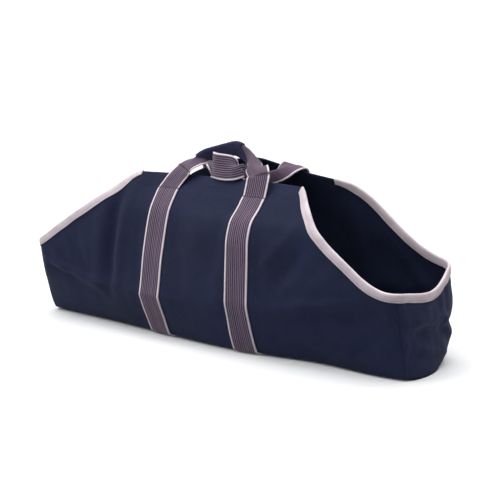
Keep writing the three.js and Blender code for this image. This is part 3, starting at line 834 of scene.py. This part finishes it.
print("halfway along a straight line:", curve_point([Vector((x, 0, 0)) for x in (0, 1, 2)], 0.5).x)

# %% Handle route
handle_root = {FRONT: 0.23 * half_belly, BACK: 0.41 * half_belly}
hem_top = {FRONT: front_height, BACK: back_height}


def outward(yaw, pitch):
    """The way the webbing's outer face looks."""
    yaw, pitch = math.radians(yaw), math.radians(pitch)
    flat = math.cos(pitch)
    return Vector((math.sin(yaw) * flat, -math.cos(yaw) * flat, math.sin(pitch)))


def handle_route(face, rows, left_foot, right_foot):
    """A function that gives the handle's frame at each share of its way."""
    points, ways, bends = [left_foot], [Vector((0, face, 0))], [0]
    for across, reach, up, fold, yaw, pitch in rows:
        y = face * handle_root[face] + reach * handle_reach
        points.append(Vector((across * half_spacing, y, hem_top[face] + up * handle_rise)))
        ways.append(outward(yaw, pitch))
        bends.append(fold)
    points.append(right_foot)
    ways.append(Vector((0, face, 0)))
    bends.append(0)
    table = dict(at=list(range(len(points))), fold=bends)

    def route(share):
        ahead = curve_point(points, min(share + 1e-4, 1))
        along = (ahead - curve_point(points, max(share - 1e-4, 0))).normalized()
        width = along.cross(curve_point(ways, share)).normalized()
        return dict(point=curve_point(points, share), width=width,
                    face=width.cross(along).normalized(),
                    turn=math.pi * read(table, "fold", share * (len(points) - 1)))

    return route


print("outer face of the left foot:", tuple(round(c, 2) for c in outward(0, 16)))

# %% [markdown]
# The webbing's section folds over its middle: the fold is an arc of fixed length, whose radius
# shrinks as the fold closes, and the rest of the width stays flat on each side. Near both hems
# the section is held as it was sewn, and lets go over a few rows.

# %% Strap pieces
free_rows = 170
left_held, left_loose, right_held, right_loose = 12, 18, 11, 24


def folded_point(frame_at, s, lift):
    """A point of the strap's section, s along its width."""
    bend = max(frame_at["turn"], 1e-4)
    radius = fold_length / bend
    arc = clamp(s, -half_fold, half_fold)
    rest, angle = s - arc, arc / radius
    across = (radius + lift) * math.sin(angle) + rest * math.cos(angle)
    drop = (radius + lift) * (1 - math.cos(angle)) - lift + rest * math.sin(angle)
    return frame_at["point"] + frame_at["width"] * across - frame_at["face"] * drop


def free_row(route, i, left_row, right_row):
    here = route((i + 1) / (free_rows + 1))
    from_left = 1 - max(i - left_held, 0) / left_loose
    from_right = 1 - max(free_rows - 1 - i - right_held, 0) / right_loose
    sewn = left_row if i < free_rows / 2 else right_row
    held = ease(max(from_left, from_right, 0))
    return [folded_point(here, s, 0).lerp(here["point"] + sewn[j] - sewn[strap_middle], held)
            for j, s in enumerate(columns)]


straps, routes = {}, {}
for face, side_name, table in ((FRONT, "front", front_handle), (BACK, "back", back_handle)):
    left, right = leg_rows(face, -1), leg_rows(face, 1)[::-1]
    route = handle_route(face, table, left[-1][strap_middle], right[0][strap_middle])
    grid = left + [free_row(route, i, left[-1], right[0]) for i in range(free_rows)] + right
    run = lengths([row[strap_middle] for row in grid])
    piece = cloth("webbing_" + side_name, grid, webbing_wall, [columns] * len(grid),
                  [[d] * len(columns) for d in run])
    round(run[-1] * MM, 3)
    straps[face] = dict(piece=piece, leaves=run[len(left) - 1] * MM, returns=run[-len(left)] * MM)
    routes[face] = route
    print(piece.name, "is", round(run[-1]), "mm long, its legs", round(run[len(left) - 1]), "mm")

# %% [markdown]
# A navy cloth is folded round the doubled front handle as a grip. It is a rectangle whose ends
# were sewn at a slant, so its start and end differ from the fold to the open edge.

# %% Grip cover
cover_start, cover_end = dict(fold=0.25, edge=0.36), dict(fold=0.58, edge=0.69)
cover_reach = half_webbing + 0.8
cover_lift = webbing_wall / 2 + wrap_margin + wrap_wall / 2
cover_rows = 70
cover_steps = [1.0, 0.985, 0.93, 0.85, 0.75, 0.64, 0.52, 0.4, 0.28, 0.16, 0.06]
# Each column: which side of the fold, and the share of the way to the edge there.
cover_columns = [(1, s) for s in cover_steps]
cover_columns += [(0, f) for f in (1, 0.6, 0.2, -0.2, -0.6, -1)]
cover_columns += [(-1, s) for s in reversed(cover_steps)]


def cover_point(u, side_of, s):
    share = s if side_of else 0
    start = mix(cover_start["fold"], cover_start["edge"], share)
    here = routes[FRONT](mix(start, mix(cover_end["fold"], cover_end["edge"], share), u))
    place = side_of * mix(half_fold, cover_reach, s) if side_of else s * half_fold
    ripple = 0.45 * uneven(u * 9, share * 2 + side_of * 5, 3)
    ripple += 0.3 * uneven(u * 26, share * 3 + side_of * 5, 8)
    seam = 0.175 * bell(share - 0.87, 0.05) * abs(side_of)
    ripple = max(ripple, -0.15) * min(1, 12 * u * (1 - u))
    return folded_point(here, place, cover_lift + ripple - seam)


grid = [[cover_point(i / (cover_rows - 1), *column) for column in cover_columns]
        for i in range(cover_rows)]
run = list(zip(*[lengths(column) for column in zip(*grid)]))
grip_cover = cloth("grip_cover", grid, wrap_wall, [centred(row) for row in grid], run)
print("cover is", round(run[-1][0]), "mm along its open edge")

# %% [markdown]
# The finishes are sums of a few simple patterns. Wrapping a socket in a small class lets them
# be written as ordinary arithmetic: each + or * adds a Math node to the material.

# %% Finish helper
class Pattern:
    """A number in a material's node tree, or one that varies over the cloth."""

    def __init__(self, finish, socket):
        self.finish = finish
        self.socket = socket

    def sum_with(self, kind, other, swap=False):
        pair = (other, self) if swap else (self, other)
        return self.finish.sums(kind, *pair)

    def __add__(self, other):
        return self.sum_with("ADD", other)

    def __radd__(self, other):
        return self.sum_with("ADD", other, True)

    def __sub__(self, other):
        return self.sum_with("SUBTRACT", other)

    def __rsub__(self, other):
        return self.sum_with("SUBTRACT", other, True)

    def __mul__(self, other):
        return self.sum_with("MULTIPLY", other)

    def __rmul__(self, other):
        return self.sum_with("MULTIPLY", other, True)

    def __truediv__(self, other):
        return self.sum_with("DIVIDE", other)

    def __rtruediv__(self, other):
        return self.sum_with("DIVIDE", other, True)

    def wave(self):
        return self.finish.sums("SINE", self)

    def size(self):
        return self.finish.sums("ABSOLUTE", self)

    def fraction(self):
        return self.finish.sums("FRACT", self)

    def most(self, other):
        return self.sum_with("MAXIMUM", other)

    def step(self, low, high):
        """0 below low, 1 above high and a soft slope between."""
        node = self.finish.node("ShaderNodeMapRange", dict(interpolation_type="SMOOTHSTEP"),
                                {"Value": self, "From Min": low, "From Max": high})
        return Pattern(self.finish, node.outputs["Result"])

    def near(self, place, width):
        """1 at a place, falling to 0 at that distance from it."""
        return 1 - (self - place).size().step(0, width)


print("arithmetic on sockets is ready")

# %% [markdown]
# Every node is made in one place: its type, then its settings, then its sockets, each with a
# value or with a link. A finish adds the ways of reading a place on the cloth, and ends in one
# shader.

# %% Nodes
class Nodes:
    """A node tree and one way to add to it."""

    def __init__(self, tree):
        self.tree = tree

    def node(self, kind, settings, inputs):
        node = self.tree.nodes.new(kind)
        for name, value in settings.items():
            setattr(node, name, value)
        for name, value in inputs.items():
            socket = node.inputs[name]
            if isinstance(value, Pattern):
                self.tree.links.new(value.socket, socket)
            else:
                socket.default_value = value
        return node

    def sums(self, kind, first, second=None):
        inputs = {0: first} if second is None else {0: first, 1: second}
        return Pattern(self, self.node("ShaderNodeMath", dict(operation=kind), inputs).outputs[0])

    def axes(self, vector):
        parts = self.node("ShaderNodeSeparateXYZ", {}, {0: Pattern(self, vector)})
        return [Pattern(self, parts.outputs[axis]) for axis in "XYZ"]

    def blend(self, amount, first, second):
        """A colour between two, each a plain colour or another blend."""
        node = self.node("ShaderNodeMix", dict(data_type="RGBA"), {0: amount, 6: first, 7: second})
        return Pattern(self, node.outputs[2])

    def noise(self, vector, scale, detail):
        inputs = {"Vector": Pattern(self, vector), "Scale": scale, "Detail": detail}
        return Pattern(self, self.node("ShaderNodeTexNoise", {}, inputs).outputs["Fac"])


def plain_finish(name, settings):
    material = bpy.data.materials.new(name)
    material.use_nodes = True
    for socket, value in settings.items():
        material.node_tree.nodes["Principled BSDF"].inputs[socket].default_value = value
    return material


print("nodes come from", Nodes.node.__name__)


# %% A cloth finish
class Finish(Nodes):
    """A cloth's material, with short ways to read a place on it."""

    def __init__(self, name, roughness, sheen, sheen_tint):
        self.material = plain_finish(name, {
            "Roughness": roughness, "Specular IOR Level": 0.3, "Sheen Weight": sheen,
            "Sheen Roughness": 0.45, "Sheen Tint": sheen_tint})
        super().__init__(self.material.node_tree)
        self.shader = self.tree.nodes["Principled BSDF"]

    def flat(self):
        """Places on the flat cloth: across and along, in metres."""
        uv = self.node("ShaderNodeUVMap", dict(uv_map="flat"), {})
        return self.axes(uv.outputs["UV"])[:2]

    def stored(self, name):
        node = self.node("ShaderNodeAttribute", dict(attribute_name=name), {})
        return Pattern(self, node.outputs["Fac"])

    def cloud(self, scale, detail):
        """Soft noise through the object's own space."""
        place = self.node("ShaderNodeTexCoord", {}, {})
        return self.noise(place.outputs["Object"], scale, detail)

    def threads(self, across, along):
        """Noise on the flat cloth, in streaks along its length."""
        place = self.node("ShaderNodeCombineXYZ", {}, {"X": across, "Y": along})
        return self.noise(place.outputs[0], 1.0, 2.0)

    def done(self, tone, roughness, height, depth):
        inputs = {"Height": height, "Distance": depth, "Strength": 1.0}
        bump = self.node("ShaderNodeBump", {}, inputs)
        for name, socket in (("Base Color", tone.socket), ("Roughness", roughness.socket),
                             ("Normal", bump.outputs["Normal"])):
            self.tree.links.new(socket, self.shader.inputs[name])
        return self.material


def colour(red, green, blue):
    """A colour given as it looks on a screen, 0 to 255, turned to light."""
    def light(c):
        return ((c / 255 + 0.055) / 1.055) ** 2.4 if c > 10 else c / 255 / 12.92
    return light(red), light(green), light(blue), 1


print("navy as light:", tuple(round(c, 3) for c in colour(36, 42, 72)))

# %% [markdown]
# Canvas is a plain weave of thick threads, about one a millimetre, that pass over and under
# each other. Two crossed waves give it. Its navy is a little uneven, and single threads run
# lighter. A thread in the same navy sews the hem.

# %% Threads and stitches
def wave(distance, pitch):
    return (distance * (2 * math.pi / pitch)).wave()


def thread_line(down, along, place, length, gap):
    """A row of stitches at a distance: each stitch is a short raised dash."""
    dash = ((along / length).fraction() - 0.5).size()
    return down.near(place, 0.0009) * (1 - dash.step(0.44 - gap / 2, 0.56 - gap / 2))


print("a stitch of the hem is 3.4 mm long")

# %% Canvas
thread_pitch = 0.0021
canvas = Finish("canvas", 0.85, 0.05, colour(150, 160, 200))
across, along = canvas.flat()
below = canvas.stored("below_edge")
weave = wave(across, thread_pitch) * wave(along, thread_pitch)
slub = canvas.threads(across * 90, along * 1400) + canvas.threads(across * 1400, along * 90)
patch = canvas.cloud(9.0, 4.0)
fine = canvas.cloud(60.0, 3.0)
stitch = thread_line(below, across, stitch_depth * MM, 0.0034, 0.28)
navy = canvas.blend(patch.step(0.3, 0.72), colour(9, 16, 42), colour(17, 25, 56))
navy = canvas.blend((slub - 0.8) * 0.7, navy, colour(34, 44, 76))
navy = canvas.blend(stitch * 0.8, navy, colour(8, 11, 24))
height = weave * 0.35 + (slub - 1) * 0.5 + fine * 0.6 + stitch * 1.6
canvas_finish = canvas.done(navy, 0.78 + fine * 0.14, height, 0.0003)
print("canvas nodes:", len(canvas.tree.nodes))

# %% [markdown]
# The tape is a soft twill in a pinkish beige, sewn down near its inner edge with thread of its
# own colour. Folding and sewing left it slightly uneven.

# %% Tape
tape = Finish("binding tape", 0.8, 0.25, colour(255, 245, 245))
across, along = tape.flat()
rib = wave(across + along, 0.0016)
patch = tape.cloud(40.0, 3.0)
seam = thread_line(across.size(), along, 0.0104, 0.003, 0.28)
beige = tape.blend(patch.step(0.3, 0.7), colour(212, 198, 206), colour(232, 219, 226))
beige = tape.blend(seam * 0.7, beige, colour(184, 166, 176))
tape_finish = tape.done(beige, 0.75 + patch * 0.12, rib * 0.25 + patch * 0.8 + seam * 1.2, 0.00035)
print("tape nodes:", len(tape.tree.nodes))

# %% [markdown]
# The webbing has a mauve-brown ground with fine navy stripes and pale edges, all woven in
# along its length. Across it the flat map says which stripe a place is in. Near the grip the
# stripes lie under the sewn fold, so there the band is plain.

# %% Webbing
stripe_pitch = 0.0032


def webbing_finish(name, stitch_places, plain_from, plain_to):
    """Webbing with stripes; lines of stitches across it and a plain part, by metres along it."""
    web = Finish(name, 0.72, 0.3, colour(255, 240, 250))
    across, along = web.flat()
    plain_middle, plain_half = 0.5 * (plain_from + plain_to), 0.5 * (plain_to - plain_from)
    striped = (along - plain_middle).size().step(plain_half - 0.003, plain_half + 0.003)
    striped = striped * (1 - across.size().step(0.0161, 0.0166))
    stripes = ((across / stripe_pitch).fraction() - 0.5).size()
    dark = (1 - stripes.step(0.15, 0.24)) * striped
    pale = stripes.step(0.36, 0.44) * striped
    edge = across.size().step(0.0165, 0.0169)
    patch = web.cloud(26.0, 3.0)
    streak = web.threads(across * 2600, along * 60)
    sewn = along.near(stitch_places[0], 0.0022)
    for place in stitch_places[1:]:
        sewn = sewn.most(along.near(place, 0.0022))
    ground = web.blend(patch.step(0.3, 0.7), colour(80, 63, 84), colour(98, 79, 99))
    ground = web.blend(streak.step(0.35, 0.7) * 0.5, ground, colour(66, 52, 76))
    ground = web.blend(pale * 0.75, ground, colour(156, 134, 156))
    ground = web.blend(dark * 0.92, ground, colour(14, 14, 44))
    ground = web.blend(edge * 0.95, ground, colour(240, 226, 232))
    ground = web.blend(sewn * 0.95, ground, colour(30, 20, 34))
    height = wave(along, 0.0017) * 0.35 + pale * 0.4 - dark * 0.4
    height = height + streak * 0.4 + edge * 0.5 - sewn * 0.8
    return web.done(ground, 0.66 + patch * 0.12, height, 0.00035)


leaves, returns = straps[FRONT]["leaves"], straps[FRONT]["returns"]
fold_from, fold_to = leaves + 0.036, returns - 0.03
front_finish = webbing_finish(
    "webbing front", [leaves - 0.002, returns + 0.002, fold_from, fold_to], fold_from, fold_to)
leaves, returns = straps[BACK]["leaves"], straps[BACK]["returns"]
back_finish = webbing_finish(
    "webbing back", [leaves - 0.002, returns + 0.002], returns - 0.085, returns - 0.004)
print("front webbing is plain from", round(fold_from, 3), "to", round(fold_to, 3), "m")

# %% [markdown]
# The grip's cloth is a finer, smoother navy cotton than the body, with two rows of stitches
# along the open edge that hold it round the webbing.

# %% Grip cloth
cover = Finish("grip cloth", 0.7, 0.3, colour(150, 155, 230))
across, along = cover.flat()
fine = cover.cloud(70.0, 3.0)
twill = wave(across * 1.4 + along, 0.0014)
sewn = thread_line(across.size(), along, 0.0172, 0.003, 0.28)
blue = cover.blend(fine.step(0.3, 0.7), colour(14, 14, 46), colour(22, 22, 58))
blue = cover.blend(sewn * 0.7, blue, colour(16, 17, 48))
cover_finish = cover.done(blue, 0.66 + fine * 0.14, twill * 0.25 + fine * 0.5 + sewn, 0.0003)
print("grip cloth nodes:", len(cover.tree.nodes))

# %% [markdown]
# Each finished piece now takes the place of its plain solid and gets its finish. Nothing on
# the carrier turns on a joint, so all of it rides on the one body.

# %% Dress the solids
dress(canvas_body, canvas_finish, "canvas", "body_sheet")
for end, side_name in ends:
    dress(canvas_ends[end], canvas_finish, "canvas", "end_wall_" + side_name)
    dress(tapes[end], tape_finish, "binding", "binding_" + side_name)
dress(straps[FRONT]["piece"], front_finish, "webbing", "front_strap")
dress(straps[BACK]["piece"], back_finish, "webbing", "back_strap")
dress(grip_cover, cover_finish, "wrap", "grip_wrap")

# %% [markdown]
# The studio is a wide sheet of pale paper inside a white dome, so every view has the same pale
# ground behind the carrier. Both are kept out of the carrier's own light, which the sky and
# the lamps give, so that they can be as bright as they need to look.

# %% Studio
floor_reach, dome_radius = 30, 24


def backdrop(name, bm, material):
    mesh = bpy.data.meshes.new(name)
    bm.to_mesh(mesh)
    bm.free()
    mesh.materials.append(material)
    surface = bpy.data.objects.new(name, mesh)
    surface.visible_diffuse = False
    bpy.context.collection.objects.link(surface)
    return surface


bm = bmesh.new()
bmesh.ops.create_grid(bm, x_segments=1, y_segments=1, size=floor_reach)
floor = backdrop("floor", bm, plain_finish("pale paper", {
    "Base Color": (0.9, 0.905, 0.92, 1), "Roughness": 0.9, "Specular IOR Level": 0.1}))
bm = bmesh.new()
bmesh.ops.create_uvsphere(bm, u_segments=32, v_segments=16, radius=dome_radius)
white_dome = backdrop("white dome", bm, plain_finish("white glow", {
    "Base Color": (1, 1, 1, 1), "Emission Color": (1, 1, 1, 1), "Emission Strength": 1.0}))
white_dome.visible_glossy = False
white_dome.visible_shadow = False
print("floor at", floor.location.z, "under a dome of", dome_radius, "m")

# %% [markdown]
# The sky gives most of the light. It darkens below the horizon, because a real floor in front
# of a wall sends less light up than the sky sends down, and the underside of the belly is dark
# in the photograph.

# %% Sky
sky = bpy.data.worlds.new("pale sky")
sky.use_nodes = True
air = Nodes(sky.node_tree)
way = air.axes(air.node("ShaderNodeTexCoord", {}, {}).outputs["Generated"])
fade = air.node("ShaderNodeMapRange", {}, {"Value": way[2], "From Min": -0.45, "From Max": -0.05})
tone = air.blend(Pattern(air, fade.outputs["Result"]), (0.12, 0.13, 0.17, 1), (1, 1, 1, 1))
background = air.tree.nodes["Background"]
background.inputs["Strength"].default_value = 0.62
air.tree.links.new(tone.socket, background.inputs["Color"])
bpy.context.scene.world = sky
bpy.context.scene.view_settings.view_transform = "Standard"
print("sky strength:", round(background.inputs["Strength"].default_value, 2))

# %% [markdown]
# A wide, soft sun stands almost overhead and leaves the faint shadow on the floor. A small
# square lamp from the front left lifts the front panel a little, so that its folds can be read.

# %% Lights
def light(name, kind, place, turn, **settings):
    lamp = bpy.data.lights.new(name, kind)
    for setting, value in settings.items():
        setattr(lamp, setting, value)
    holder = bpy.data.objects.new(name, lamp)
    holder.location = place
    holder.rotation_euler = turn
    bpy.context.collection.objects.link(holder)


lamp_place = Vector((-1.4, -1.8, 1.4))
toward_carrier = (Vector((0, 0, 0.12)) - lamp_place).to_track_quat("-Z", "Y").to_euler()
overhead = (math.radians(6), math.radians(-5), 0)
light("high soft sun", "SUN", (0, 0, 0), overhead, energy=2.5, angle=1.1)
light("front left", "AREA", lamp_place, toward_carrier,
      shape="RECTANGLE", size=0.9, size_y=0.9, energy=15)
